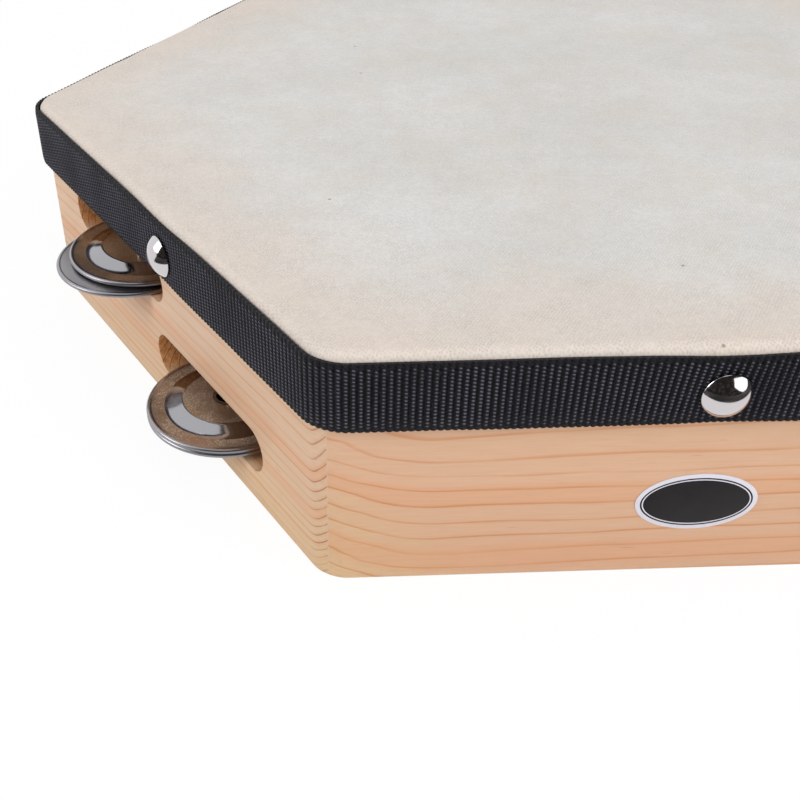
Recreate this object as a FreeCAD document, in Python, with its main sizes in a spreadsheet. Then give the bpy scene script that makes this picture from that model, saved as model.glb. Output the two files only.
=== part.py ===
import FreeCAD, Part
import math
import os
import re
import Sketcher

# Hexagonal tambourine: six mitred pine boards, a hide head pulled over the top edge and
# nailed down under a black webbing strap, and ten pairs of jingles on pins in slots.
# The frame stands on its bottom edge: +Z is up and the plain grip board faces -Y.
# The origin is on the bottom plane, in the middle of everything that stands on it: the back
# jingles reach further out than the front tack, so the hexagon's own centre lies a few
# millimetres in front of it. Lengths are millimetres.

SIZES = [
    # Boards. The length runs from corner to corner along the outer face.
    ("board_length", "145"),
    ("board_height", "54"),
    ("board_thickness", "12"),
    ("corner_radius", "8"),
    ("mitre_angle", "30"),
    # Slots: stadium shaped, one low and one high in each board but the front one. The edges
    # are the wood left under the low slot and between the high slot and the strap.
    ("slot_length", "52.5"),
    ("slot_height", "11"),
    ("low_slot_edge", "8.1"),
    ("low_slot_offset", "21"),
    ("high_slot_edge", "0.1"),
    ("high_slot_offset", "25"),
    # Hide head.
    ("hide_thickness", "0.8"),
    ("hide_clearance", "0.05"),
    ("shoulder_radius", "2.5"),
    ("skirt_depth", "12"),
    # Webbing strap around the head.
    ("strap_width", "15"),
    ("strap_thickness", "1.25"),
    ("strap_clearance", "0.05"),
    ("strap_drop", "1.2"),
    # Dome headed tacks.
    ("tack_head_diameter", "9.5"),
    ("tack_head_height", "2.7"),
    ("tack_shank_diameter", "1.8"),
    ("tack_point_length", "3.6"),
    ("tack_bite", "9"),
    ("tack_offset", "7.4"),
    ("tack_drop", "1.2"),
    # Pins that carry the jingles.
    ("pin_diameter", "2"),
    ("pin_inset", "5.75"),
    ("pin_bite", "6"),
    ("hole_clearance", "0.02"),
    # Jingles: a raised boss, a sloped step, a flat flange and a rolled rim. The two of a high
    # slot both look up, one nested over the other and pushed apart as far as the pin allows.
    ("jingle_diameter", "38.4"),
    ("jingle_height", "2.3"),
    ("jingle_sheet", "0.5"),
    ("flange_width", "4.4"),
    ("step_width", "3.6"),
    ("rim_width", "0.9"),
    ("rim_height", "1.1"),
    ("rim_round", "0.45"),
    ("step_round", "1.1"),
    ("jingle_hole_diameter", "5.8"),
    ("pin_play", "0.1"),
    ("nest_clearance", "0.05"),
    # Blank oval label on the front board.
    ("label_length", "24"),
    ("label_width", "14"),
    ("label_thickness", "0.2"),
    ("label_level", "18.2"),
    # A cut runs this far past what it cuts, and places nearer than a hair are the same.
    ("overrun", "3"),
    ("hair", "0.001"),
]

# The sides in turn, each with the direction in degrees that its outer face looks in.
SIDES = [
    ("front", -90),
    ("front_right", -30),
    ("back_right", 30),
    ("back", 90),
    ("back_left", 150),
    ("front_left", 210),
]
PLAIN_SIDE = "front"

doc = FreeCAD.newDocument("hexagonal_tambourine")
sheet = doc.addObject("Spreadsheet::Sheet", "sizes")
for row, (alias, number) in enumerate(SIZES, start=1):
    sheet.set(f"A{row}", alias)
    sheet.set(f"B{row}", number)
    sheet.setAlias(f"B{row}", alias)
doc.recompute()

# Lengths that follow from the sheet, written as expressions.
APOTHEM = "(board_length / 2 / tan(mitre_angle))"
STRAIGHT = "(board_length / 2 - corner_radius * tan(mitre_angle))"
HIDE_FACE = "(hide_clearance + hide_thickness)"
STRAP_BACK = "(hide_clearance + hide_thickness + strap_clearance)"
STRAP_FACE = "(hide_clearance + hide_thickness + strap_clearance + strap_thickness)"
SKIRT_BOTTOM = "(board_height - skirt_depth)"
STRAP_BOTTOM = "(board_height + hide_thickness - strap_drop - strap_width)"
TACK_LEVEL = f"({STRAP_BOTTOM} + strap_width / 2 - tack_drop)"
LOW_SLOT_LEVEL = "(low_slot_edge + slot_height / 2)"
HIGH_SLOT_LEVEL = f"({STRAP_BOTTOM} - high_slot_edge - slot_height / 2)"
LOW_SLOT_FLOOR = "low_slot_edge"
HIGH_SLOT_FLOOR = f"({HIGH_SLOT_LEVEL} - slot_height / 2)"
STEP_SLOPE = "((jingle_height - rim_height) / step_width)"
DRIFT = "((jingle_hole_diameter - pin_diameter) / 2 - pin_play)"
NEST_RISE = (f"(jingle_sheet * sqrt(1 + {STEP_SLOPE}^2) + 2 * {DRIFT} * {STEP_SLOPE}"
             " + nest_clearance)")
PIN_DEPTH = "(0 - pin_inset)"
FRONT_REACH = f"({STRAP_FACE} + tack_head_height)"
BACK_REACH = f"(jingle_diameter / 2 + {DRIFT} - pin_inset)"
CENTRE = f"(({FRONT_REACH} - {BACK_REACH}) / 2)"


def on_sheet(text):
    """The expression with each alias pointed at the sheet."""
    for alias, _ in SIZES:
        text = re.sub(rf"(?<![\w.]){alias}(?!\w)", f"sizes.{alias}", text)
    return text


def number(text):
    """The number that an expression comes to."""
    result = sheet.evalExpression(on_sheet(text))
    return float(getattr(result, "Value", result))


def bind(item, name, text):
    """Tie one property of an object to an expression of the sheet."""
    item.setExpression(name, on_sheet(text))


def new_body(label):
    body = doc.addObject("PartDesign::Body", label)
    body.Label = label
    return body


def new_sketch(body, role, name, level=None):
    """A sketch on one of the body's own origin planes, raised by level if given."""
    sketch = body.newObject("Sketcher::SketchObject", name)
    plane = [item for item in body.Origin.OriginFeatures if item.Role == role][0]
    sketch.AttachmentSupport = [(plane, "")]
    sketch.MapMode = "FlatFace"
    if level:
        bind(sketch, "AttachmentOffset.Base.z", level)
    return sketch


def tie(sketch, kind, terms, text):
    """Add one dimension to a sketch and tie it to an expression."""
    index = sketch.addConstraint(Sketcher.Constraint(kind, *terms, number(text)))
    bind(sketch, f"Constraints[{index}]", text)


def tie_point(sketch, edge, end, across, along):
    """Hold one point of a sketch at two expressions; a plain 0 puts it on the axis."""
    if across == "0":
        sketch.addConstraint(Sketcher.Constraint("PointOnObject", edge, end, -2))
    else:
        tie(sketch, "DistanceX", (-1, 1, edge, end), across)
    if along == "0":
        sketch.addConstraint(Sketcher.Constraint("PointOnObject", edge, end, -1))
    else:
        tie(sketch, "DistanceY", (-1, 1, edge, end), along)


def outline(sketch, corners):
    """Draw a closed loop, counter-clockwise, through corners written as expressions.

    A corner is (x, y), or (x, y, radius) where an arc leaves it for the next corner.
    """
    points = [FreeCAD.Vector(number(c[0]), number(c[1]), 0) for c in corners]
    edges = []
    for index, corner in enumerate(corners):
        start = points[index]
        end = points[(index + 1) % len(points)]
        if len(corner) == 2:
            edges.append(sketch.addGeometry(Part.LineSegment(start, end)))
            continue
        radius = number(corner[2])
        chord = end - start
        rise = math.sqrt(max(radius ** 2 - (chord.Length / 2) ** 2, 0))
        left = FreeCAD.Vector(-chord.y, chord.x, 0).normalize()
        centre = (start + end) / 2 + left * rise
        first = math.atan2(start.y - centre.y, start.x - centre.x)
        last = math.atan2(end.y - centre.y, end.x - centre.x)
        circle = Part.Circle(centre, FreeCAD.Vector(0, 0, 1), radius)
        edges.append(sketch.addGeometry(Part.ArcOfCircle(circle, first, last)))
    for index, corner in enumerate(corners):
        following = edges[(index + 1) % len(edges)]
        sketch.addConstraint(Sketcher.Constraint("Coincident", edges[index], 2, following, 1))
    for edge, corner in zip(edges, corners):
        tie_point(sketch, edge, 1, corner[0], corner[1])
        if len(corner) == 3:
            tie(sketch, "Radius", (edge,), corner[2])


def hole(sketch, across, along, radius):
    """Draw one circle in a sketch."""
    centre = FreeCAD.Vector(number(across), number(along), 0)
    circle = Part.Circle(centre, FreeCAD.Vector(0, 0, 1), number(radius))
    edge = sketch.addGeometry(circle)
    tie_point(sketch, edge, 3, across, along)
    tie(sketch, "Radius", (edge,), radius)


def pad(body, sketch, name, length):
    feature = body.newObject("PartDesign::Pad", name)
    feature.Profile = sketch
    bind(feature, "Length", length)
    sketch.Visibility = False
    return feature


def pocket(body, sketch, name, length=None, reversed_side=False):
    """Cut a sketch into the body, to a length or, with none given, both ways right through."""
    feature = body.newObject("PartDesign::Pocket", name)
    feature.Profile = sketch
    if length:
        bind(feature, "Length", length)
        feature.Reversed = reversed_side
    else:
        feature.Type = "ThroughAll"
        feature.Midplane = True
    sketch.Visibility = False
    return feature


def turn(body, sketch, name):
    """Revolve a sketch a full turn about its upright axis."""
    feature = body.newObject("PartDesign::Revolution", name)
    feature.Profile = sketch
    feature.ReferenceAxis = (sketch, ["V_Axis"])
    feature.Angle = 360
    sketch.Visibility = False
    return feature


def near(one, other):
    """True where two lengths differ by less than a hair."""
    return abs(one - other) < number("hair")


def round_edges(body, base, name, radius, wanted):
    """Round the edges of a feature that the test wanted picks."""
    doc.recompute()
    chosen = [f"Edge{i}" for i, edge in enumerate(base.Shape.Edges, start=1) if wanted(edge)]
    if not chosen:
        raise RuntimeError(f"{body.Label}: no edge to round in {name}")
    feature = body.newObject("PartDesign::Fillet", name)
    feature.Base = (base, chosen)
    bind(feature, "Radius", radius)
    return feature


def put(item, direction, across, outward, level, lean=None):
    """Place an object on the side that looks in direction: across runs along the board,
    outward starts at its outer face and level is the height. The object's own Y then looks
    outward, unless lean turns it first."""
    cosine = f"cos({direction})"
    sine = f"sin({direction})"
    reach = f"({APOTHEM} + {outward})"
    turned = FreeCAD.Rotation(FreeCAD.Vector(0, 0, 1), direction - 90)
    if lean:
        turned = turned * lean
    item.Placement = FreeCAD.Placement(FreeCAD.Vector(), turned)
    bind(item, "Placement.Base.x", f"{reach} * {cosine} + {across} * {sine}")
    bind(item, "Placement.Base.y", f"{reach} * {sine} - {across} * {cosine} + {CENTRE}")
    bind(item, "Placement.Base.z", level)


def slot_outline(sketch, offset, level):
    """A slot with round ends; each end is two quarter turns."""
    reach = "(slot_length / 2 - slot_height / 2)"
    radius = "slot_height / 2"
    low = f"{level} - slot_height / 2"
    high = f"{level} + slot_height / 2"
    outline(sketch, [
        (f"{offset} - {reach}", low),
        (f"{offset} + {reach}", low, radius),
        (f"{offset} + slot_length / 2", level, radius),
        (f"{offset} + {reach}", high),
        (f"{offset} - {reach}", high, radius),
        (f"{offset} - slot_length / 2", level, radius),
    ])


def hexagon(sketch, outset):
    """The rounded hexagon of the frame's outer face, moved out by outset."""
    corners = []
    for _, direction in SIDES:
        cosine = f"cos({direction})"
        sine = f"sin({direction})"
        reach = f"({APOTHEM} + {outset})"
        for sign, bend in (("+", ()), ("-", (f"corner_radius + {outset}",))):
            across = f"{reach} * {cosine} {sign} {STRAIGHT} * {sine}"
            along = f"{reach} * {sine} {'-' if sign == '+' else '+'} {STRAIGHT} * {cosine}"
            corners.append((across, along) + bend)
    outline(sketch, corners)


# Each slotted board has two pairs of jingles: the low one hangs on a pin driven in from the
# bottom edge, the high one on a pin driven in from the top edge, under the hide.
PAIRS = {
    "low": {
        "across": "(0 - low_slot_offset)",
        "level": LOW_SLOT_LEVEL,
        "pin_length": f"({LOW_SLOT_LEVEL} + slot_height / 2 + pin_bite)",
        "pin_foot": "0",
        "drift": "0",
        "upper_level": f"({LOW_SLOT_FLOOR} + jingle_height)",
        "lower_level": f"({LOW_SLOT_FLOOR} + jingle_height)",
        "lower_turn": FreeCAD.Rotation(FreeCAD.Vector(1, 0, 0), 180),
    },
    "high": {
        "across": "high_slot_offset",
        "level": HIGH_SLOT_LEVEL,
        "pin_length": f"(board_height - {HIGH_SLOT_LEVEL} + slot_height / 2 + pin_bite)",
        "pin_foot": f"({HIGH_SLOT_FLOOR} - pin_bite)",
        "drift": DRIFT,
        "upper_level": f"({HIGH_SLOT_FLOOR} + {NEST_RISE})",
        "lower_level": HIGH_SLOT_FLOOR,
        "lower_turn": None,
    },
}


def tack_across(side):
    """Where along its board the tack of a side sits."""
    return "0" if side == PLAIN_SIDE else "(0 - tack_offset)"


def make_board(side, direction):
    """A mitred board. Its own X runs along the outer face and its own Y looks outward."""
    body = new_body(f"{side}_board")
    rounded = "corner_radius * (1 - cos(mitre_angle))"
    tip = f"({STRAIGHT} + corner_radius * sin(mitre_angle))"
    inner = "(board_length / 2 - board_thickness * tan(mitre_angle))"
    plan = new_sketch(body, "XY_Plane", "plan")
    outline(plan, [
        (f"0 - {inner}", "0 - board_thickness"),
        (inner, "0 - board_thickness"),
        (tip, f"0 - {rounded}", "corner_radius"),
        (STRAIGHT, "0"),
        (f"0 - {STRAIGHT}", "0", "corner_radius"),
        (f"0 - {tip}", f"0 - {rounded}"),
    ])
    solid = pad(body, plan, "plank", "board_height")
    top = number("board_height")
    reach = number(f"0 - {rounded}")

    def is_outer_top(edge):
        """True on the straight and the two curved edges along the top of the outer face."""
        return all(near(v.Z, top) and v.Y > reach - number("hair") for v in edge.Vertexes)

    round_edges(body, solid, "top_round", "shoulder_radius - hide_thickness", is_outer_top)
    tack = new_sketch(body, "XZ_Plane", "tack_hole_place")
    hole(tack, tack_across(side), TACK_LEVEL, "tack_shank_diameter / 2 + hole_clearance")
    pocket(body, tack, "tack_hole", "tack_bite", reversed_side=True)
    if side != PLAIN_SIDE:
        for name, pair in PAIRS.items():
            slot = new_sketch(body, "XZ_Plane", f"{name}_slot_shape")
            slot_outline(slot, pair["across"], pair["level"])
            pocket(body, slot, f"{name}_slot")
            radius = "pin_diameter / 2 + hole_clearance"
            from_top = name == "high"
            level = "board_height" if from_top else None
            pin = new_sketch(body, "XY_Plane", f"{name}_pin_place", level)
            hole(pin, pair["across"], PIN_DEPTH, radius)
            pocket(body, pin, f"{name}_pin_hole", pair["pin_length"], not from_top)
    put(body, direction, "0", "0", "0")
    return body


def make_jingle(label):
    """One jingle, boss upwards, with the plane where two jingles meet at its own zero."""
    body = new_body(label)
    bore = "jingle_hole_diameter / 2"
    rim = "jingle_diameter / 2"
    step = f"({rim} - flange_width)"
    boss = f"({step} - step_width)"
    under = "(jingle_height - jingle_sheet)"
    flange = "(rim_height - jingle_sheet)"
    slope = f"(jingle_height - rim_height) / ({step} - {boss})"
    tuck = f"jingle_sheet * tan(atan({slope}) / 2)"
    shape = new_sketch(body, "XZ_Plane", "profile")
    outline(shape, [
        (bore, under),
        (f"{boss} - {tuck}", under),
        (f"{step} - {tuck}", flange),
        (f"{rim} - rim_width", flange),
        (f"{rim} - rim_width", "0"),
        (rim, "0"),
        (rim, "rim_height"),
        (step, "rim_height"),
        (boss, "jingle_height"),
        (bore, "jingle_height"),
    ])
    dish = turn(body, shape, "dish")

    def ring(radius, level):
        """A test for the circular edge of that radius at that height."""
        wide = number(radius)
        high = number(level)

        def test(edge):
            same = near(edge.Vertexes[0].Z, high)
            return edge.isClosed() and same and near(edge.Curve.Radius, wide)
        return test

    steps = [
        ring(boss, "jingle_height"),
        ring(step, "rim_height"),
        ring(f"{boss} - {tuck}", under),
        ring(f"{step} - {tuck}", flange),
    ]
    soft = round_edges(body, dish, "step_rounds", "step_round",
                       lambda edge: any(test(edge) for test in steps))
    round_edges(body, soft, "rim_round_over", "rim_round", ring(rim, "rim_height"))
    return body


def make_pair(side, direction, name, pair):
    """The pin and the two jingles of one slot, the lower one lying on the slot's floor."""
    pin = doc.addObject("Part::Cylinder", f"{side}_{name}_pin")
    pin.Label = f"{side}_{name}_pin"
    bind(pin, "Radius", "pin_diameter / 2")
    bind(pin, "Height", pair["pin_length"])
    put(pin, direction, pair["across"], PIN_DEPTH, pair["pin_foot"])
    upper = make_jingle(f"{side}_{name}_upper_jingle")
    put(upper, direction, pair["across"], f"(0 - pin_inset - {pair['drift']})",
        pair["upper_level"])
    lower = make_jingle(f"{side}_{name}_lower_jingle")
    put(lower, direction, pair["across"], f"({pair['drift']} - pin_inset)",
        pair["lower_level"], pair["lower_turn"])
    return [pin, upper, lower]


def make_tack(side, direction):
    """A tack with a domed head and a pointed shank, its own Z along the shank."""
    body = new_body(f"{side}_tack")
    head = "tack_head_diameter / 2"
    shank = "tack_shank_diameter / 2"
    bow = f"(({head})^2 + tack_head_height^2) / (2 * tack_head_height)"
    end = f"({STRAP_FACE} + tack_bite)"
    shape = new_sketch(body, "XZ_Plane", "profile")
    outline(shape, [
        ("0", f"0 - {end}"),
        (shank, f"0 - {end} + tack_point_length"),
        (shank, "0"),
        (head, "0", bow),
        ("0", "tack_head_height"),
    ])
    turn(body, shape, "tack")
    lean = FreeCAD.Rotation(FreeCAD.Vector(1, 0, 0), -90)
    put(body, direction, tack_across(side), STRAP_FACE, TACK_LEVEL, lean)
    return body


def pierce(label, solid):
    """Cut the six tack holes through a piece that goes all round the frame."""
    drills = []
    for side, direction in SIDES:
        drill = doc.addObject("Part::Cylinder", f"{label}_{side}_hole")
        bind(drill, "Radius", "tack_shank_diameter / 2 + hole_clearance")
        bind(drill, "Height", f"{STRAP_FACE} + overrun")
        lean = FreeCAD.Rotation(FreeCAD.Vector(1, 0, 0), -90)
        put(drill, direction, tack_across(side), "0", TACK_LEVEL, lean)
        drills.append(drill)
    holes = doc.addObject("Part::MultiFuse", f"{label}_holes")
    holes.Shapes = drills
    piece = doc.addObject("Part::Cut", label)
    piece.Label = label
    piece.Base = solid
    piece.Tool = holes
    return piece


def make_hide():
    """The head: a flat sheet over the frame, round the shoulder and down as a skirt."""
    body = new_body("hide_shell")
    plan = new_sketch(body, "XY_Plane", "plan")
    hexagon(plan, HIDE_FACE)
    block = pad(body, plan, "block", "skirt_depth + hide_thickness")
    top = number("skirt_depth + hide_thickness")
    rounded = round_edges(body, block, "shoulder", "shoulder_radius",
                          lambda edge: all(near(v.Z, top) for v in edge.Vertexes))
    doc.recompute()
    open_face = [f"Face{i}" for i, face in enumerate(rounded.Shape.Faces, start=1)
                 if face.BoundBox.ZMax < number("hair")]
    shell = body.newObject("PartDesign::Thickness", "shell")
    shell.Base = (rounded, open_face)
    bind(shell, "Value", "hide_thickness")
    shell.Mode = "Skin"
    shell.Join = "Intersection"
    shell.Reversed = True
    bind(body, "Placement.Base.y", CENTRE)
    bind(body, "Placement.Base.z", SKIRT_BOTTOM)
    return pierce("drum_hide", body)


def make_strap():
    """The webbing strap, a closed band around the skirt of the hide."""
    body = new_body("strap_band")
    plan = new_sketch(body, "XY_Plane", "plan")
    hexagon(plan, STRAP_FACE)
    hexagon(plan, STRAP_BACK)
    pad(body, plan, "band", "strap_width")
    bind(body, "Placement.Base.y", CENTRE)
    bind(body, "Placement.Base.z", STRAP_BOTTOM)
    return pierce("webbing_strap", body)


def make_label():
    """A thin blank oval on the plain board."""
    oval = doc.addObject("Part::Ellipse", "label_oval")
    bind(oval, "MajorRadius", "label_length / 2")
    bind(oval, "MinorRadius", "label_width / 2")
    plate = doc.addObject("Part::Extrusion", "blank_label")
    plate.Label = "blank_label"
    plate.Base = oval
    plate.DirMode = "Custom"
    plate.Dir = FreeCAD.Vector(0, 0, 1)
    bind(plate, "LengthFwd", "label_thickness")
    plate.Solid = True
    lean = FreeCAD.Rotation(FreeCAD.Vector(1, 0, 0), -90)
    put(plate, dict(SIDES)[PLAIN_SIDE], "0", "0", "label_level", lean)
    return plate


pieces = []
for side, direction in SIDES:
    pieces.append(make_board(side, direction))
    pieces.append(make_tack(side, direction))
    if side != PLAIN_SIDE:
        for name, pair in PAIRS.items():
            pieces.extend(make_pair(side, direction, name, pair))
pieces.append(make_hide())
pieces.append(make_strap())
pieces.append(make_label())
doc.recompute()

# Nothing is written unless every object came out right.
for item in doc.Objects:
    bad = [word for word in item.State if word in ("Invalid", "Error")]
    if bad:
        raise RuntimeError(f"{item.Name} is {bad}")
    if item.TypeId == "PartDesign::Pocket":
        if item.Shape.Volume >= item.BaseFeature.Shape.Volume:
            raise RuntimeError(f"{item.Name} in {item.getParent().Label} cuts nothing")
for piece in pieces:
    if piece.Shape.isNull() or not piece.Shape.isValid() or len(piece.Shape.Solids) != 1:
        raise RuntimeError(f"{piece.Label} is not one valid solid")

for piece in pieces:
    piece.Shape.exportStep(f"parts/{piece.Label}.step")
    box = piece.Shape.BoundBox
    print(f"{piece.Label:34s} {piece.Shape.Volume:10.1f} mm3  "
          f"x {box.XMin:8.2f} {box.XMax:8.2f}  y {box.YMin:8.2f} {box.YMax:8.2f}  "
          f"z {box.ZMin:6.2f} {box.ZMax:6.2f}")
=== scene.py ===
# %% [markdown]
# # A hexagonal tambourine
# The real thing is a small hand drum: six pine boards glued into a hexagon, a hide head
# pulled over the top edge, a black webbing strap that covers the cut edge of the hide, one
# domed tack near the middle of each board, and pairs of loose steel jingles in slots.
# The solids of the imported model give every piece its place. This lesson dresses them: each
# visible piece is modelled again with rounded edges and real surface, and gets a material
# with the grain, weave or polish that the real one shows.

# %% Load the solids and keep them in their places
import math
import random

import bmesh
import bpy
from mathutils import Matrix, Vector, noise


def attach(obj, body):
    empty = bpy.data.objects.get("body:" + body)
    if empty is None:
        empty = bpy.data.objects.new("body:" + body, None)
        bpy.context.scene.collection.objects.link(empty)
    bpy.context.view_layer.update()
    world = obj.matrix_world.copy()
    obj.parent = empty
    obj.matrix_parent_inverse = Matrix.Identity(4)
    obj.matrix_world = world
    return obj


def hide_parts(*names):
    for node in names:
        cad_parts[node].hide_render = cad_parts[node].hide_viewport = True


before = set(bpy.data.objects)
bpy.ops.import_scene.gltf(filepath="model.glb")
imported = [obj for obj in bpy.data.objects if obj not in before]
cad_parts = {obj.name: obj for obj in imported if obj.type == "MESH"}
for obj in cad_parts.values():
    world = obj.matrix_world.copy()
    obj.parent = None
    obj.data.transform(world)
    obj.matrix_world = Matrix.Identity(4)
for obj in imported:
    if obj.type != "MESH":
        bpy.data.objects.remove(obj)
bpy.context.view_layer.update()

MM = 0.001
print("solids loaded:", len(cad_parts))

# %% [markdown]
# ## Sizes
# The same millimetres as the solids, so that every new piece lands on the one it replaces.
# The front board is plain, and the hexagon's middle lies 5.2 mm in front of the origin.

# %% Sizes in millimetres
SIDE = 145.0
HEIGHT = 54.0
THICK = 12.0
CORNER = 8.0
MITRE = math.radians(30)
SLOT_LONG = 52.5
SLOT_HIGH = 11.0
SLOTS = {"low": (-21.0, 13.6), "high": (25.0, 33.0)}
PIN_IN = 5.75
PIN_BITE = 6.0
HIDE = 0.8
HIDE_FACE = 0.85
SHOULDER = 2.5
SKIRT = 12.0
STRAP_BACK = 0.9
STRAP_FACE = 2.15
STRAP_WIDE = 15.0
STRAP_DROP = 1.2
STRAP_LOW = HEIGHT + HIDE - STRAP_DROP - STRAP_WIDE
TACK_LEVEL = 44.9
TACK_ACROSS = -7.4
JINGLE_R = 19.2
JINGLE_HIGH = 2.3
MIDDLE = -5.2
APOTHEM = SIDE / 2 / math.tan(MITRE)
STRAIGHT = SIDE / 2 - CORNER * math.tan(MITRE)
SIDES = {"front": -90, "front_right": -30, "back_right": 30,
         "back": 90, "back_left": 150, "front_left": 210}
PLAIN = "front"
SLOTTED = {side: direction for side, direction in SIDES.items() if side != PLAIN}
print(f"across the flats {2 * APOTHEM:.1f} mm")


# %% [markdown]
# ## Helpers
# Operators act on whatever is selected, so each step starts by clearing the selection.
# Faces, edges and points are then picked by where they are.

# %% Selecting, placing and finishing
def start():
    """Leave edit mode and select nothing."""
    if bpy.context.mode != "OBJECT":
        bpy.ops.object.mode_set(mode="OBJECT")
    bpy.ops.object.select_all(action="DESELECT")


def choose(piece):
    """Make one piece the only selected and the active one."""
    start()
    piece.select_set(True)
    bpy.context.view_layer.objects.active = piece


def edit(piece, kind="VERT"):
    """Go into edit mode on one piece, with nothing in it selected."""
    choose(piece)
    bpy.ops.object.mode_set(mode="EDIT")
    bpy.ops.mesh.select_mode(type=kind)
    bpy.ops.mesh.select_all(action="DESELECT")


def pick(piece, kind, test):
    """Select the vertices, edges or faces of the edited piece that pass the test."""
    mesh = bmesh.from_edit_mesh(piece.data)
    parts = {"VERT": mesh.verts, "EDGE": mesh.edges, "FACE": mesh.faces}[kind]
    for part in parts:
        part.select_set(bool(test(part)))
    bmesh.update_edit_mesh(piece.data)


def pick_all():
    bpy.ops.mesh.select_all(action="SELECT")


def pull_up(way):
    """Extrude the selected faces up by some millimetres, or down if the way is negative."""
    bpy.ops.mesh.extrude_region_move(TRANSFORM_OT_translate={"value": (0, 0, way * MM)})


def apply_all(piece):
    """Apply the piece's place, turn and size, and then its modifiers, in order."""
    choose(piece)
    bpy.ops.object.transform_apply()
    for name in [modifier.name for modifier in piece.modifiers]:
        bpy.ops.object.modifier_apply(modifier=name)


def ease(piece, width, segments, degrees):
    """Round the edges that turn by more than some degrees, once modifiers are applied."""
    edges = piece.modifiers.new("eased edges", "BEVEL")
    edges.width = width * MM
    edges.segments = segments
    edges.limit_method = "ANGLE"
    edges.angle_limit = math.radians(degrees)


def thicken(piece, thickness):
    """Give a surface its thickness, inward."""
    wall = piece.modifiers.new("thickness", "SOLIDIFY")
    wall.thickness = thickness * MM
    wall.offset = -1
    apply_all(piece)


def smooth(piece, degrees):
    choose(piece)
    bpy.ops.object.shade_smooth_by_angle(angle=math.radians(degrees))


def at_side(direction, across=0.0, outward=0.0, level=0.0):
    """The place on one board: X along it, Y outward from its outer face, Z up."""
    spin = Matrix.Rotation(math.radians(direction - 90), 4, "Z")
    centre = Matrix.Translation((0, MIDDLE * MM, 0))
    return centre @ spin @ Matrix.Translation(Vector((across, APOTHEM + outward, level)) * MM)


def put(piece, matrix):
    """Move a piece to its place and keep the place in its mesh."""
    piece.matrix_world = matrix
    choose(piece)
    bpy.ops.object.transform_apply()


def copy_of(piece, name):
    """A copy with a mesh of its own."""
    twin = piece.copy()
    twin.data = piece.data.copy()
    twin.name = name
    bpy.context.scene.collection.objects.link(twin)
    return twin


def drop(piece):
    bpy.data.objects.remove(piece)


def rounded_hexagon(name, outset, low, high, steps=10):
    """A hexagonal prism with rounded corners, its flats at the outer faces plus outset."""
    start()
    reach = (APOTHEM + outset) / math.cos(MITRE) * MM
    bpy.ops.mesh.primitive_circle_add(vertices=6, radius=reach, fill_type="NGON",
                                      location=(0, MIDDLE * MM, low * MM),
                                      rotation=(0, 0, math.radians(90)))
    prism = bpy.context.object
    prism.name = name
    apply_all(prism)
    edit(prism)
    pick_all()
    tangent = (CORNER + outset) * math.tan(MITRE) * MM
    bpy.ops.mesh.bevel(offset_type="OFFSET", offset=tangent, segments=steps, profile=0.5,
                       affect="VERTICES")
    pick_all()
    pull_up(high - low)
    pick_all()
    bpy.ops.mesh.normals_make_consistent(inside=False)
    start()
    return prism


def cut(piece, tool):
    """Cut one piece with another and throw the cutter away."""
    knife = piece.modifiers.new("cut", "BOOLEAN")
    knife.operation = "DIFFERENCE"
    knife.solver = "EXACT"
    knife.object = tool
    apply_all(piece)
    drop(tool)


# %% [markdown]
# ## Colours and nodes
# Colours are written as the hex values that a picture editor shows. Blender works with
# linear light, so one function turns them. Another adds any node: plain arguments fill its
# sockets in order, capital names fill sockets by name, and small names are its settings.
# Whatever is an output of another node becomes a link.

# %% One function for colours, one for nodes
def colour(code):
    """A linear colour from an sRGB hex value such as d9b08c."""
    values = [int(code[i:i + 2], 16) / 255 for i in (0, 2, 4)]
    linear = [v / 12.92 if v <= 0.04045 else ((v + 0.055) / 1.055) ** 2.4 for v in values]
    return (*linear, 1.0)


def node(tree, kind, *values, out=0, stops=(), **named):
    """Add a node, fill and link its sockets, and give back one of its outputs."""
    made = tree.nodes.new("ShaderNode" + kind)
    for name, value in named.items():
        if name[0].islower():
            setattr(made, name, value)
    for index, (place, level) in enumerate(stops):
        band = made.color_ramp.elements
        point = band[index] if index < 2 else band.new(place)
        point.position, point.color = place, (level, level, level, 1)
    open_sockets = [socket for socket in made.inputs if socket.enabled]
    filled = list(zip(open_sockets, values))
    filled += [(made.inputs[name.replace("_", " ")], value) for name, value in named.items()
               if not name[0].islower()]
    for socket, value in filled:
        if isinstance(value, bpy.types.NodeSocket):
            tree.links.new(value, socket)
        else:
            socket.default_value = value
    if isinstance(out, str):
        return made.outputs[out]
    return [socket for socket in made.outputs if socket.enabled][out]


def finish_for(name, **sockets):
    """A new material and its shader, with the uniform values set on the shader's own sockets."""
    material = bpy.data.materials.new(name)
    material.use_nodes = True
    tree = material.node_tree
    shader = tree.nodes["Principled BSDF"]
    for socket, value in sockets.items():
        shader.inputs[socket.replace("_", " ")].default_value = value
    return material, tree, shader


def wear(piece, material):
    """Give a piece one material."""
    piece.data.materials.clear()
    piece.data.materials.append(material)


# %% [markdown]
# ## The boards
# Each board is sawn from a pine plank, its ends mitred at 30 degrees, and two slots are
# routed through five of the six. Corners are sanded round after gluing. One ring is made
# from a rounded hexagon, the slots are cut, and then six copies are sawn along the mitres,
# so that neighbours meet exactly.

# %% A ring with slots
NEARLY_HALF = 0.49995
EASED = 0.35


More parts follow.
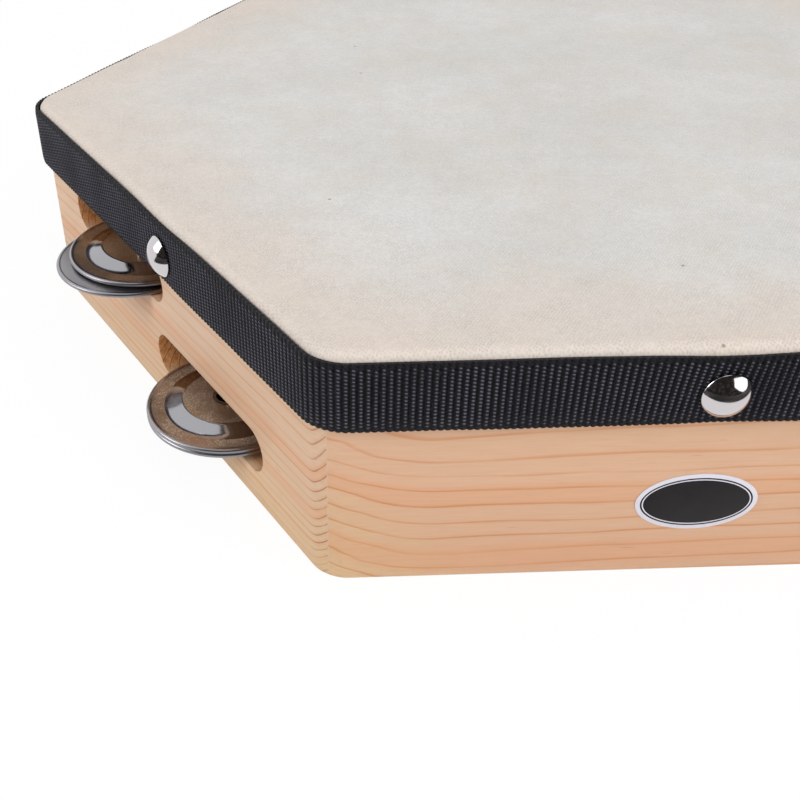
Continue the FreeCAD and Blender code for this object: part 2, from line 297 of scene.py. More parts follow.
def slot_cutter(direction, across, level):
    """A block with round ends, wide enough to pass right through a board."""
    start()
    bpy.ops.mesh.primitive_cube_add(size=1)
    cutter = bpy.context.object
    cutter.scale = (SLOT_LONG * MM, 3 * THICK * MM, SLOT_HIGH * MM)
    apply_all(cutter)
    edit(cutter, "EDGE")
    pick(cutter, "EDGE", lambda e: abs(e.verts[0].co.y - e.verts[1].co.y) > THICK * MM)
    bpy.ops.mesh.bevel(offset_type="OFFSET", offset=SLOT_HIGH * NEARLY_HALF * MM,
                       segments=12, profile=0.5, affect="EDGES")
    pick_all()
    bpy.ops.mesh.remove_doubles(threshold=0.00001)
    put(cutter, at_side(direction, across, -THICK / 2, level))
    return cutter


ring = rounded_hexagon("ring", 0.0, 0.0, HEIGHT)
edit(ring, "EDGE")
pick(ring, "EDGE", lambda e: all(v.co.z > (HEIGHT - 0.1) * MM for v in e.verts))
bpy.ops.mesh.bevel(offset_type="OFFSET", offset=(SHOULDER - HIDE) * MM, segments=4,
                   profile=0.5, affect="EDGES")
start()
reach = (APOTHEM - THICK) / math.cos(MITRE) * MM
bpy.ops.mesh.primitive_cylinder_add(vertices=6, radius=reach, depth=3 * HEIGHT * MM,
                                    location=(0, MIDDLE * MM, 0),
                                    rotation=(0, 0, math.radians(90)))
cut(ring, bpy.context.object)
for side, direction in SLOTTED.items():
    for across, level in SLOTS.values():
        cut(ring, slot_cutter(direction, across, level))
ease(ring, EASED, 2, 40)
apply_all(ring)
print("ring:", len(ring.data.polygons), "faces")

# %% Saw the ring into six boards
boards = {}
for side, direction in SIDES.items():
    board = copy_of(ring, f"pine_{side}")
    for turn, sign in ((30, 1), (-30, -1)):
        angle = math.radians(direction + turn)
        edit(board)
        pick_all()
        normal = (-sign * math.sin(angle), sign * math.cos(angle), 0)
        bpy.ops.mesh.bisect(plane_co=(0, MIDDLE * MM, 0), plane_no=normal, use_fill=True,
                            clear_outer=True)
    smooth(board, 35)
    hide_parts(f"{side}_board")
    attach(board, "frame")
    boards[side] = board
drop(ring)
print("boards:", len(boards), "of", len(boards["front_left"].data.polygons), "faces")


# %% [markdown]
# ## Pine
# Softwood, planed and sanded, with a thin clear seal. A board is a slice through the rings
# of the tree, so the pattern is worked out in the solid: the distance from a pith line that
# lies outside the board. Pale early wood darkens slowly to an orange late line and then
# starts again at once. Where a slot or a corner cuts across, the same rings show end on.

# %% Places on a board, and the rings through it
def board_places(tree, side, slide):
    """The board's own X, Y and Z in millimetres, with its outer face at Y = 0, the same
    moved along by slide for the grain, and the way that the surface faces."""
    spin = math.radians(90 - SIDES[side])
    centre = Matrix.Rotation(spin, 3, "Z") @ Vector((0, -MIDDLE, 0)) - Vector((0, APOTHEM, 0))
    place = node(tree, "Mapping", node(tree, "TexCoord", out="Object"), centre, (0, 0, spin),
                 (1000, 1000, 1000))
    facing = node(tree, "Mapping", node(tree, "TexCoord", out="Normal"), Rotation=(0, 0, spin),
                  vector_type="VECTOR")
    return place, node(tree, "VectorMath", place, (slide, 0, 0), operation="ADD"), facing


def late_wood(tree, grain, pith, spacing, waver, hook):
    """How dark the rings are, from 0 in early wood to 1 at a late line, and how ruddy. pith is
    how far out and up the tree's middle lies, spacing and waver are millimetres, and hook says
    where along the board a knot bends the grain, where that ends, and by how much."""
    drawn = node(tree, "VectorMath", grain, (1 / 9, 1, 1), operation="MULTIPLY")
    wave = node(tree, "TexNoise", Vector=drawn, Scale=0.05, Detail=1.0)
    shake = node(tree, "TexNoise", Vector=drawn, Scale=0.3, Detail=1.0)
    bent = node(tree, "SeparateXYZ", grain, out="X")
    bent = node(tree, "MapRange", bent, hook[0], hook[1], 1, 0)
    bent = node(tree, "Math", node(tree, "Math", bent, 2.0, operation="POWER"), -hook[2],
                operation="MULTIPLY")
    bent = node(tree, "VectorMath", grain, node(tree, "CombineXYZ", Z=bent), operation="ADD")
    tilted = node(tree, "Mapping", bent, (0, -pith[0], -pith[1]), (0, -0.022, 0))
    section = node(tree, "VectorMath", tilted, (0, 1 / spacing, 1 / spacing), operation="MULTIPLY")
    rings = node(tree, "VectorMath", section, operation="LENGTH", out="Value")
    rings = node(tree, "Math", wave, waver / spacing, rings, operation="MULTIPLY_ADD")
    rings = node(tree, "Math", shake, 0.24 * waver / spacing, rings, operation="MULTIPLY_ADD")
    late = node(tree, "ValToRGB", node(tree, "Math", rings, operation="FRACT"),
                stops=((0.0, 0.35), (1.0, 0.9), (0.03, 0.05), (0.5, 0.0), (0.84, 0.1),
                       (0.94, 0.85)))
    # No two years are alike: some late lines are broad and dark, others hardly show.
    year = node(tree, "TexWhiteNoise", W=node(tree, "Math", rings, operation="FLOOR"),
                noise_dimensions="1D")
    year = node(tree, "MapRange", year, 0, 1, 0.4, 1)
    late = node(tree, "Math", late, year, operation="MULTIPLY")
    # And each fades and comes back along the board.
    fade = node(tree, "TexNoise", Vector=drawn, Scale=0.28, Detail=2.0)
    fade = node(tree, "MapRange", fade, 0.36, 0.56, 0.5, 1)
    late = node(tree, "Math", late, fade, operation="MULTIPLY")
    # Some runs of years are ruddier than others.
    ruddy = node(tree, "TexNoise", W=rings, Scale=0.45, Detail=1.0, noise_dimensions="1D")
    return late, node(tree, "MapRange", ruddy, 0.5, 0.66, 0, 0.5)


# %% Where the cut ends of the fibres and the inside of the slots show
SLOT_REACH = 58.0
SKIN = 1.5


def cut_places(tree, place, facing):
    """1 on the round ends of the slots, 1 on their floors and ceilings from a little way in,
    where shade is painted, and the way from the middle of the board. No slot reaches further
    along than SLOT_REACH."""
    across, along, level = (
        node(tree, "Math", node(tree, "SeparateXYZ", what, out=way), operation="ABSOLUTE")
        for what, way in ((facing, "X"), (place, "X"), (facing, "Z")))
    ends = node(tree, "MapRange", across, 0.2, 0.7, 0,
                node(tree, "Math", along, SLOT_REACH, operation="LESS_THAN"))
    inside = node(tree, "MapRange", node(tree, "SeparateXYZ", place, out="Y"), -0.3, -2.0)
    height = node(tree, "Math", node(tree, "SeparateXYZ", place, out="Z"), HEIGHT / 2,
                  HEIGHT / 2 - SKIN, operation="COMPARE")
    level = node(tree, "Math", level, height, operation="MULTIPLY")
    return ends, node(tree, "Math", level, inside, operation="MULTIPLY"), along


# %% Pine for one board
APART = 300.0


def pine(side, pith, spacing, waver, tints, hook, sap, soaked):
    """tints are two shades of early wood, the fibres' colour and the late wood's. sap is the
    way to the yellower sapwood, with the distances at which it starts and is full. soaked is
    how far the seal darkens the late wood where a corner is rounded."""
    material, tree, shader = finish_for(f"sanded_pine_{side}", Specular_IOR_Level=0.35)
    slide = APART * list(SIDES).index(side)
    place, grain, facing = board_places(tree, side, slide)
    late, ruddy = late_wood(tree, grain, pith, spacing, waver,
                            (slide + hook[0], slide + hook[1], hook[2]))
    ends, slot_floor_shade, along_board = cut_places(tree, place, facing)
    drawn = node(tree, "VectorMath", grain, (1 / 16, 1, 1), operation="MULTIPLY")
    patch = node(tree, "TexNoise", Vector=drawn, Scale=0.06, Detail=3.0)
    fibre = node(tree, "TexNoise", Vector=drawn, Scale=1.8, Detail=3.0, Roughness=0.6)
    duct = node(tree, "TexNoise", Vector=drawn, Scale=2.0, Detail=1.0)
    outer = node(tree, "VectorMath", place, (sap[0], 0, sap[1]), operation="DOT_PRODUCT",
                 out="Value")
    outer = node(tree, "Math", patch, 12.0, outer, operation="MULTIPLY_ADD")
    torn = node(tree, "TexNoise", Vector=grain, Scale=0.9, Detail=4.0, Roughness=0.7)
    rough_end = node(tree, "Mix", node(tree, "MapRange", torn, 0.35, 0.65), colour("bc7036"),
                     colour("e3a666"), data_type="RGBA")
    rough_end = node(tree, "Mix", node(tree, "MapRange", late, 0.05, 0.5, 0, 0.85), rough_end,
                     colour("7c3f17"), data_type="RGBA")
    tone = node(tree, "Mix", node(tree, "MapRange", patch, 0.35, 0.65), colour(tints[0]),
                colour(tints[1]), data_type="RGBA")
    corner = node(tree, "MapRange", along_board, STRAIGHT - 1.5, STRAIGHT + 1.5, 0, soaked)
    # A pale line of glue shows where the mitres meet.
    joint = node(tree, "Math", node(tree, "SeparateXYZ", place, out="Y"), -math.tan(MITRE),
                 along_board, operation="MULTIPLY_ADD")
    for share, tint in ((node(tree, "MapRange", outer, sap[2], sap[3], 0, 0.7), colour("dfc294")),
                        (ruddy, colour("e0a67e")),
                        (node(tree, "MapRange", fibre, 0.35, 0.8, 0, 0.5), colour(tints[2])),
                        (late, colour(tints[3])),
                        (node(tree, "Math", late, corner, operation="MULTIPLY"), colour("9c4f22")),
                        (node(tree, "MapRange", duct, 0.74, 0.79, 0, 0.35), colour("a86f42")),
                        # Painted shade: the floors and ceilings of the slots are darkened deeper
                        # in.
                        (node(tree, "MapRange", slot_floor_shade, 0, 1, 0, 0.4), colour("b5834f")),
                        (node(tree, "MapRange", ends, 0, 1, 0, 0.9), rough_end),
                        (node(tree, "MapRange", joint, SIDE / 2 - 0.25, SIDE / 2 - 0.1, 0, 0.4),
                         colour("d3bda8"))):
        tone = node(tree, "Mix", share, tone, tint, data_type="RGBA")
    tree.links.new(tone, shader.inputs["Base Color"])
    relief = node(tree, "Math", late, 0.6, fibre, operation="MULTIPLY_ADD")
    splinters = node(tree, "Math", torn, ends, operation="MULTIPLY")
    relief = node(tree, "Math", splinters, 3.0, relief, operation="MULTIPLY_ADD")
    bump = node(tree, "Bump", Strength=0.4, Distance=0.00012, Height=relief)
    tree.links.new(bump, shader.inputs["Normal"])
    shine = node(tree, "Math", late, -0.1, 0.56, operation="MULTIPLY_ADD")
    tree.links.new(shine, shader.inputs["Roughness"])
    return material


# %% Six boards from different planks
ROSY = ("e0b899", "dab090", "cfa282", "cb7c3c")
SANDY = ("dcb99b", "e0c2a6", "cba283", "c67c40")
END = SIDE / 2
PLANKS = {"front": ((-60.0, 75.0), 2.75, 5.0, ROSY,
                    (END, 50.0, 7.0), (0.8, -1.0, 32.0, 58.0), 0.0),
          "front_left": ((38.0, 84.0), 1.6, 1.8, SANDY,
                         (-END, -65.0, 2.6), (-0.1, -1.0, -14.0, 10.0), 1.0),
          "front_right": ((-60.0, 90.0), 3.0, 4.0, ROSY,
                          (END, 55.0, 4.0), (-0.8, -1.0, 30.0, 60.0), 0.2),
          "back_right": ((44.0, -30.0), 2.1, 1.4, SANDY,
                         (-END, -64.0, 2.5), (0.3, 1.0, 30.0, 60.0), 0.7),
          "back": ((-50.0, -20.0), 3.2, 4.0, SANDY,
                   (END, 55.0, 5.0), (0.6, 1.0, 60.0, 90.0), 0.3),
          "back_left": ((40.0, 90.0), 2.4, 2.0, ROSY,
                        (-END, -60.0, 3.0), (-0.3, -1.0, 0.0, 30.0), 0.6)}
for side, plank in PLANKS.items():
    wear(boards[side], pine(side, *plank))
print("pine on", len(PLANKS), "boards")

# %% [markdown]
# ## The hide
# Thin goatskin, soaked, stretched over the frame and left to dry. It lies dead flat on top
# and turns a tight shoulder, and the strap hides the skirt. A rounded hexagon is bevelled at
# its top edge, opened at the bottom and given the hide's thickness. A little unevenness is
# pressed into the shoulder, because a dried hide never bends quite evenly.

# %% Stretch the hide
BORDER = 4.0
UNEVEN = 0.35
SAG = 0.30
CUTS = 47
hide = rounded_hexagon("stretched_hide", HIDE_FACE, HEIGHT - SKIRT, HEIGHT + HIDE, steps=8)
edit(hide, "EDGE")
pick(hide, "EDGE", lambda e: (e.calc_length() > SIDE / 3 * MM
                              and abs(e.verts[0].co.z - e.verts[1].co.z) < MM))
bpy.ops.mesh.subdivide(number_cuts=CUTS, quadcorner="INNERVERT")
edit(hide, "FACE")
pick(hide, "FACE", lambda f: f.normal.z < -0.9)
bpy.ops.mesh.delete(type="FACE")
top_z = (HEIGHT + HIDE - 0.01) * MM
edit(hide, "EDGE")
pick(hide, "EDGE", lambda e: all(v.co.z > top_z for v in e.verts))
bpy.ops.mesh.bevel(offset_type="OFFSET", offset=SHOULDER * MM, segments=6, profile=0.5,
                   affect="EDGES")
bpy.ops.mesh.select_mode(type="FACE")
pick(hide, "FACE", lambda f: f.normal.z > 0.999 and f.calc_area() > 0.01)
bpy.ops.mesh.inset(thickness=BORDER * MM)
for share in (0.96, 0.9, 0.8):
    bpy.ops.mesh.extrude_region_move()
    bpy.ops.transform.resize(value=(share, share, 1), center_override=(0, MIDDLE * MM, 0))
start()
for point in hide.data.vertices:
    flat = Vector((point.co.x, point.co.y - MIDDLE * MM, 0))
    edge = max(flat.dot(Vector((math.cos(math.radians(d)), math.sin(math.radians(d)), 0)))
               for d in SIDES.values()) / MM
    if edge > APOTHEM - BORDER and point.co.z > (HEIGHT - 3) * MM:
        lump = noise.noise(point.co * 55) * 0.6 + noise.noise(point.co * 160) * 0.35
        point.co.z += min(lump, 0) * SAG * MM
        point.co -= flat.normalized() * abs(lump) * UNEVEN * MM
thicken(hide, HIDE)
smooth(hide, 50)
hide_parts("drum_hide")
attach(hide, "frame")
print("hide:", len(hide.data.polygons), "faces")


# %% [markdown]
# ## Rawhide
# Scraped and dried, chalky and not quite white. It is yellower where the shoulder thins and
# stains it, cloudy in the middle, finely pored, with a speck of dirt here and there.

# %% Rawhide
def rawhide():
    material, tree, shader = finish_for("scraped_rawhide", Roughness=0.62,
                                        Specular_IOR_Level=0.3, Sheen_Weight=0.1)
    place = node(tree, "Mapping", node(tree, "TexCoord", out="Object"), (0, -MIDDLE, 0),
                 Scale=(1000, 1000, 1000))
    # How far out a point lies, towards the nearest pair of sides, with a ragged border.
    reach = 0.0
    for direction in (90, 30, 150):
        way = (math.cos(math.radians(direction)), math.sin(math.radians(direction)), 0)
        out = node(tree, "VectorMath", place, way, operation="DOT_PRODUCT", out="Value")
        out = node(tree, "Math", out, operation="ABSOLUTE")
        reach = node(tree, "Math", out, reach, operation="MAXIMUM")
    ragged = node(tree, "TexNoise", Vector=place, Scale=0.045, Detail=4.0, Roughness=0.6)
    reach = node(tree, "Math", ragged, 30.0, reach, operation="MULTIPLY_ADD")
    rim = node(tree, "MapRange", reach, APOTHEM * 0.84, APOTHEM * 1.12, 0, 0.75)
    cloud = node(tree, "TexNoise", Vector=place, Scale=0.022, Detail=5.0, Roughness=0.6)
    warmth = node(tree, "TexNoise", Vector=place, Scale=0.06, Detail=6.0, Roughness=0.65)
    # Pores lie in rows, a good half millimetre apart, fainter in some places than in others.
    rows = node(tree, "Mapping", place, Rotation=(0, 0, 0.6), Scale=(1.7, 1.5, 1.0))
    pores = node(tree, "TexVoronoi", Vector=rows, Scale=1.0, Randomness=0.45,
                 voronoi_dimensions="2D")
    worn = node(tree, "TexNoise", Vector=place, Scale=0.15, Detail=3.0)
    pores = node(tree, "Math", node(tree, "MapRange", pores, 0.45, 0.1), node(
        tree, "MapRange", worn, 0.3, 0.7, 0.3, 1.0), operation="MULTIPLY")
    grain = node(tree, "TexNoise", Vector=place, Scale=0.9, Detail=4.0, Roughness=0.7)
    specks = node(tree, "TexVoronoi", Vector=place, Scale=0.06)
    tone = node(tree, "Mix", node(tree, "MapRange", cloud, 0.35, 0.65), colour("dedddb"),
                colour("e8e7e6"), data_type="RGBA")
    for share, tint in ((node(tree, "MapRange", warmth, 0.45, 0.72, 0, 0.30), "dccbb6"),
                        (rim, "e8d7c9"),
                        (node(tree, "MapRange", grain, 0.35, 0.7, 0.30, 0), "b9b2a8"),
                        (node(tree, "MapRange", pores, 0, 1, 0, 0.42), "a59c92"),
                        (node(tree, "MapRange", specks, 0.028, 0.016, 0, 0.7), "86705c")):
        tone = node(tree, "Mix", share, tone, colour(tint), data_type="RGBA")
    tree.links.new(tone, shader.inputs["Base Color"])
    lumps = node(tree, "TexNoise", Vector=place, Scale=0.12, Detail=4.0)
    relief = node(tree, "Math", pores, -0.5, grain, operation="MULTIPLY_ADD")
    relief = node(tree, "Math", lumps, 1.2, relief, operation="MULTIPLY_ADD")
    bump = node(tree, "Bump", Strength=0.5, Distance=0.00025, Height=relief)
    tree.links.new(bump, shader.inputs["Normal"])
    return material


wear(hide, rawhide())
print("rawhide on the head")

# %% [markdown]
# ## The webbing strap
# Heavy ribbed tape, 15 mm wide: thick weft cords stand across it, about 1.3 mm apart, and
# each is wrapped by warp threads. One cord with its groove is modelled and arrayed along a
# curve right round the drum, as tape is laid, and the ends meet.

# %% Weave one rib and lay it round the drum
RIB = 1.333
BEAD = 0.79
CORD_HIGH = 0.34
CORD_PAST = 0.35
TAPE = 0.75
LAID_AT = STRAP_FACE - 0.45
STRAP_MID = STRAP_LOW + STRAP_WIDE / 2
start()
bpy.ops.mesh.primitive_grid_add(x_subdivisions=4, y_subdivisions=10, size=1)
rib = bpy.context.object
rib.data.transform(Matrix.Rotation(math.radians(90), 4, "X"))
layer = rib.data.uv_layers.active
for corner in rib.data.loops:
    spot = rib.data.vertices[corner.vertex_index].co
    layer.data[corner.index].uv = (spot.x + 0.5, spot.z + 0.5)
for point in rib.data.vertices:
    u, v = point.co.x, point.co.z
    hump = math.cos(u * math.pi) ** 0.8 if abs(u) < 0.49 else 0.0
    edge = 1.0 if abs(v) < 0.49 else 0.35
    point.co = Vector((u * RIB * MM, -hump * edge * CORD_HIGH * MM,
                       v * (STRAP_WIDE - CORD_PAST + CORD_PAST * hump) * MM))
path = rounded_hexagon("strap path", LAID_AT, STRAP_MID, STRAP_MID + 1, steps=16)
edit(path)
pick(path, "VERT", lambda v: v.co.z > (STRAP_MID + 0.5) * MM)
bpy.ops.mesh.delete(type="VERT")
pick_all()
bpy.ops.mesh.delete(type="ONLY_FACE")
choose(path)
bpy.ops.object.convert(target="CURVE")
path = bpy.context.object
length = sum(s.calc_length() for s in path.data.splines) / MM
ribs = round(length / RIB)
print(f"strap path {length:.1f} mm, {ribs} ribs, cyclic {path.data.splines[0].use_cyclic_u}")

# %% Array the rib along the path and press it down at the tacks
choose(rib)
row = rib.modifiers.new("ribs", "ARRAY")
row.fit_type = "FIXED_COUNT"
row.count = ribs
row.offset_u = 1.0
row.relative_offset_displace = (1, 0, 0)
row.use_merge_vertices = True
row.merge_threshold = 0.00001
bpy.ops.object.modifier_apply(modifier="ribs")
rib.data.transform(Matrix.Translation((RIB * MM / 2, 0, 0)))
rib.data.transform(Matrix.Diagonal((length / (ribs * RIB), 1, 1, 1)))
bend = rib.modifiers.new("laid round", "CURVE")
bend.object = path
bend.deform_axis = "POS_X"
bpy.ops.object.modifier_apply(modifier="laid round")
edit(rib)
pick_all()
bpy.ops.mesh.remove_doubles(threshold=0.00002)
start()
drop(path)
strap = rib
strap.name = "webbing"


def bell(way, width):
    """1 in the middle, falling away smoothly over a width."""
    return math.exp(-((way / width) ** 2))


# The head presses the tape flat, pulls both its edges in and makes the cords lean.
HEAD_REACH = 4.4
for side, direction in SIDES.items():
    across, lean = (0.0, 0.11) if side == PLAIN else (TACK_ACROSS, 0.05)
    seat = at_side(direction, across, STRAP_FACE, TACK_LEVEL)
    to_seat = seat.inverted()
    for point in strap.data.vertices:
        spot = to_seat @ point.co / MM
        away = math.hypot(spot.x, spot.z)
        if abs(spot.y) > 6 or away > 40:
            continue
        spot.x -= bell(spot.x, 20) * lean * (spot.z + 0.2)
        spot.y -= CORD_HIGH * bell(max(away - HEAD_REACH, 0), 2.2) * max(spot.y + 1.2, 0) / 1.2
        pull = -0.55 if spot.z > 0 else 0.25
        spot.z += bell(spot.x, 11) * pull * min(abs(spot.z) / 7, 1)
        point.co = seat @ (spot * MM)
for point in strap.data.vertices:
    edge = abs(point.co.z / MM - STRAP_MID) / (STRAP_WIDE / 2)
    point.co.z += noise.noise(point.co * 70) * 0.22 * MM * max(edge - 0.5, 0)
thicken(strap, TAPE)
smooth(strap, 60)
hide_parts("webbing_strap")
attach(strap, "frame")
print("webbing:", len(strap.data.polygons), "faces")


# %% [markdown]
# ## Webbing
# Black polypropylene yarn: hardly any colour, but each warp thread that crosses a cord
# makes a small bead, with black gaps between. The light that the beads catch is painted
# into the colour as a pale highlight, and a band along each cord as painted sheen. From
# one cord to the next the beads climb a little, so that they line up in slanting rows.
# They follow the piece's own UV map, in which every cord is one unit wide and the tape is
# one unit high.

# %% Webbing
def ribbed_tape():
    material, tree, shader = finish_for("woven_black_tape", Roughness=0.6,
                                        Specular_IOR_Level=0.22)
    weave = node(tree, "UVMap")
    u = node(tree, "SeparateXYZ", weave, out="X")
    v = node(tree, "SeparateXYZ", weave, out="Y")
    rows = node(tree, "Math", v, STRAP_WIDE / BEAD, operation="MULTIPLY")
    threads = {}
    for name, climb in (("bead", 0.5), ("yarn", 1.5)):
        turns = node(tree, "Math", u, climb, rows, operation="MULTIPLY_ADD")
        turns = node(tree, "Math", turns, 2 * math.pi, operation="MULTIPLY")
        wave = node(tree, "Math", turns, operation="SINE")
        threads[name] = node(tree, "MapRange", wave, -0.7, 0.9)
    # A band on each cord, set a little off its middle: painted sheen, which also shapes the beads.
    crown_and_highlight = node(tree, "Math", u, math.pi, -0.10 * math.pi, operation="MULTIPLY_ADD")
    crown_and_highlight = node(tree, "Math", crown_and_highlight, operation="SINE")
    crown_and_highlight = node(tree, "Math", crown_and_highlight, operation="ABSOLUTE")
    crown_and_highlight = node(tree, "Math", crown_and_highlight, 2.4, operation="POWER")
    height = node(tree, "Math", threads["bead"], crown_and_highlight, operation="MULTIPLY")
    place = node(tree, "TexCoord", out="Object")
    fuzz = node(tree, "TexNoise", Vector=place, Scale=2600.0, Detail=3.0)
    wide = node(tree, "TexNoise", Vector=place, Scale=60.0, Detail=2.0)
    # The woven edges of the tape are tighter and get no painted bead highlights, so they stay
    # black. Every second cord has one of the needle holes, painted darker still as painted shade.
    middle = node(tree, "Math", v, 0.5, 0.43, operation="COMPARE")
    lit = node(tree, "Math", height, middle, operation="MULTIPLY")
    wide = node(tree, "MapRange", wide, 0.3, 0.7, 0.7, 1.2)
    lit = node(tree, "Math", lit, wide, operation="MULTIPLY")
    pairs = node(tree, "Math", node(tree, "Math", u, 0.5, operation="MULTIPLY"), operation="FRACT")
    pairs = node(tree, "MapRange", pairs, 0, 1, 0, 2 * RIB)
    needle_hole_shade = node(tree, "CombineXYZ", pairs, node(tree, "Math", v, STRAP_WIDE, operation="MULTIPLY"))
    needle_hole_shade = node(tree, "VectorMath", needle_hole_shade, (RIB, STRAP_WIDE - 1.4, 0), operation="DISTANCE",
                out="Value")
    tone = colour("09070b")
    for share, tint in ((node(tree, "MapRange", threads["yarn"], 0, 1, 0, 0.4), "211f27"),
                        # Painted sheen along each cord, then painted highlights on the beads.
                        (node(tree, "MapRange", crown_and_highlight, 0.1, 1.0, 0, 0.35), "292830"),
                        (node(tree, "MapRange", lit, 0.35, 0.9, 0, 0.85), "6a6979"),
                        (node(tree, "MapRange", fuzz, 0.6, 0.75, 0, 0.15), "7d8088"),
                        # Painted shade in the needle holes.
                        (node(tree, "MapRange", needle_hole_shade, 0.45, 0.25, 0, 1), "020202")):
        tone = node(tree, "Mix", share, tone, colour(tint), data_type="RGBA")
    tree.links.new(tone, shader.inputs["Base Color"])
    relief = node(tree, "Math", fuzz, 0.2, height, operation="MULTIPLY_ADD")
    bump = node(tree, "Bump", Strength=0.8, Distance=0.0003, Height=relief)
    tree.links.new(bump, shader.inputs["Normal"])
    return material


wear(strap, ribbed_tape())

# %% [markdown]
# ## The tacks
# An upholstery tack: a domed head stamped from plated steel and a thin shank that is driven
# through strap and hide into the board. The head is the cap of a sphere, sawn off flat, and
# the shank is drawn out of its underside.

# %% One tack
HEAD_R = 4.75
HEAD_HIGH = 2.45
SHANK_R = 0.9
SHANK_LONG = 9.2
POINT_LONG = 1.9
LIP = 0.3
BOW = (HEAD_R ** 2 + HEAD_HIGH ** 2) / (2 * HEAD_HIGH)
start()
bpy.ops.mesh.primitive_uv_sphere_add(segments=64, ring_count=96, radius=BOW * MM,
                                     location=(0, 0, (HEAD_HIGH - BOW) * MM))
tack = bpy.context.object
apply_all(tack)
edit(tack)
pick_all()
bpy.ops.mesh.bisect(plane_co=(0, 0, 0.02 * MM), plane_no=(0, 0, 1), use_fill=True,
                    clear_inner=True)
bpy.ops.mesh.select_mode(type="FACE")
pick(tack, "FACE", lambda f: f.normal.z < -0.9)
bpy.ops.mesh.inset(thickness=LIP * MM, depth=-0.02 * MM)
bpy.ops.mesh.inset(thickness=(HEAD_R - SHANK_R - LIP) * MM)
pull_up(-SHANK_LONG)
pull_up(-POINT_LONG)
bpy.ops.transform.resize(value=(0.1, 0.1, 1), center_override=(0, 0, 0))
start()
ease(tack, 0.2, 3, 35)
apply_all(tack)
smooth(tack, 50)
tacks = []
face_out = Matrix.Rotation(math.radians(-90), 4, "X")
for side, direction in SIDES.items():
    nail = copy_of(tack, f"dome_tack_{side}")
    across = 0.0 if side == PLAIN else TACK_ACROSS
    put(nail, at_side(direction, across, STRAP_FACE, TACK_LEVEL) @ face_out)
    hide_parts(f"{side}_tack")
    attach(nail, "frame")
    tacks.append(nail)
drop(tack)
print("tacks:", len(tacks), "of", len(nail.data.polygons), "faces")

# %% [markdown]
# ## The jingles
# A jingle is a thin steel disc, pressed: a hole in the middle, a raised boss, a sloping
# step, a flat flange and an edge rolled over. It is drawn from a ring of edges at the hole
# that is pulled outward step by step, as a press draws a blank, and then given thickness.

# %% Press one jingle
SHEET = 0.45
PROFILE = [(2.92, 2.08), (2.96, 2.30), (3.1, 2.39), (3.25, 2.39), (3.65, 2.25), (3.9, 2.23),
           (4.2, 2.23), (10.3, 2.23), (10.5, 2.23), (10.75, 2.215), (11.0, 2.165), (11.2, 2.10),
           (11.35, 2.046), (13.3, 1.344), (13.7, 1.21), (14.1, 1.105), (14.5, 1.035),
           (14.9, 0.99), (15.3, 0.975), (15.6, 0.975), (18.0, 1.04), (18.3, 1.065), (18.6, 1.10),
           (18.85, 1.08), (19.05, 0.98), (19.17, 0.80), (19.2, 0.55), (19.17, 0.3),
           (19.0, 0.08), (18.8, 0.0)]
start()
bpy.ops.mesh.primitive_circle_add(vertices=112, radius=PROFILE[0][0] * MM,
                                  location=(0, 0, PROFILE[0][1] * MM))
jingle = bpy.context.object
apply_all(jingle)
edit(jingle)
pick_all()
for (r0, z0), (r1, z1) in zip(PROFILE, PROFILE[1:]):
    bpy.ops.mesh.extrude_edges_move(TRANSFORM_OT_translate={"value": (0, 0, (z1 - z0) * MM)})
    bpy.ops.transform.resize(value=(r1 / r0, r1 / r0, 1), center_override=(0, 0, 0))
pick_all()
bpy.ops.mesh.normals_make_consistent(inside=False)
start()
thicken(jingle, SHEET)
smooth(jingle, 50)


SLUMP = 0.30
SLUMP_FROM = 14.0
SLUMP_TO = 18.3


def slump(disc):
    """The flange of the lower jingle of a high pair is beaten down a little toward its edge."""
    for point in disc.data.vertices:
        spread = math.hypot(point.co.x, point.co.y) / MM
        if SLUMP_FROM < spread < SLUMP_TO:
            share = (SLUMP_TO - spread) / (SLUMP_TO - SLUMP_FROM)
            point.co.z += SLUMP * math.sin(math.pi * share ** 1.6) * MM


# Name, drift outward, height over the slot's floor and turn of each jingle of a pair.
PAIRS = {"low": (("upper", 0.0, JINGLE_HIGH, 0), ("lower", 0.0, JINGLE_HIGH, 180)),
         "high": (("upper", -1.8, 1.777, 0), ("lower", 1.8, 0.0, 0))}
jingles = []
rng = random.Random(7)
for side, direction in SLOTTED.items():
    for name, (across, level) in SLOTS.items():
        for part, drift, rise, turn in PAIRS[name]:
            disc = copy_of(jingle, f"jingle_{side}_{name}_{part}")
            if (name, part) == ("high", "lower"):
                slump(disc)
            spin = Matrix.Rotation(rng.uniform(0, 2 * math.pi), 4, "Z")
            place = at_side(direction, across, drift - PIN_IN, level - SLOT_HIGH / 2 + rise)
            put(disc, place @ Matrix.Rotation(math.radians(turn), 4, "X") @ spin)
            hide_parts(f"{side}_{name}_{part}_jingle")
            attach(disc, f"{side}_{name}_{part}_jingle")
            jingles.append(disc)
drop(jingle)
print("jingles:", len(jingles), "of", len(jingles[0].data.polygons), "faces")

# %% [markdown]
# ## The pins
# Plain steel nails without heads. Only the middle of each shows, inside its slot. A thin
# cylinder has both its ends eased.

# %% Pins
PIN_R = 1.0
start()
bpy.ops.mesh.primitive_cylinder_add(vertices=32, radius=PIN_R * MM, depth=1)
rod = bpy.context.object
pins = []
for side, direction in SLOTTED.items():
    for name, (across, level) in SLOTS.items():
        low = 0.0 if name == "low" else level - SLOT_HIGH / 2 - PIN_BITE
        high = level + SLOT_HIGH / 2 + PIN_BITE if name == "low" else HEIGHT
        pin = copy_of(rod, f"pin_{side}_{name}")
        stretch = Matrix.Diagonal((1, 1, (high - low) * MM, 1))
        put(pin, at_side(direction, across, -PIN_IN, (low + high) / 2) @ stretch)
        ease(pin, 0.25, 2, 60)
        apply_all(pin)
        smooth(pin, 40)
        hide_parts(f"{side}_{name}_pin")
        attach(pin, "frame")
        pins.append(pin)
drop(rod)
print("pins:", len(pins))
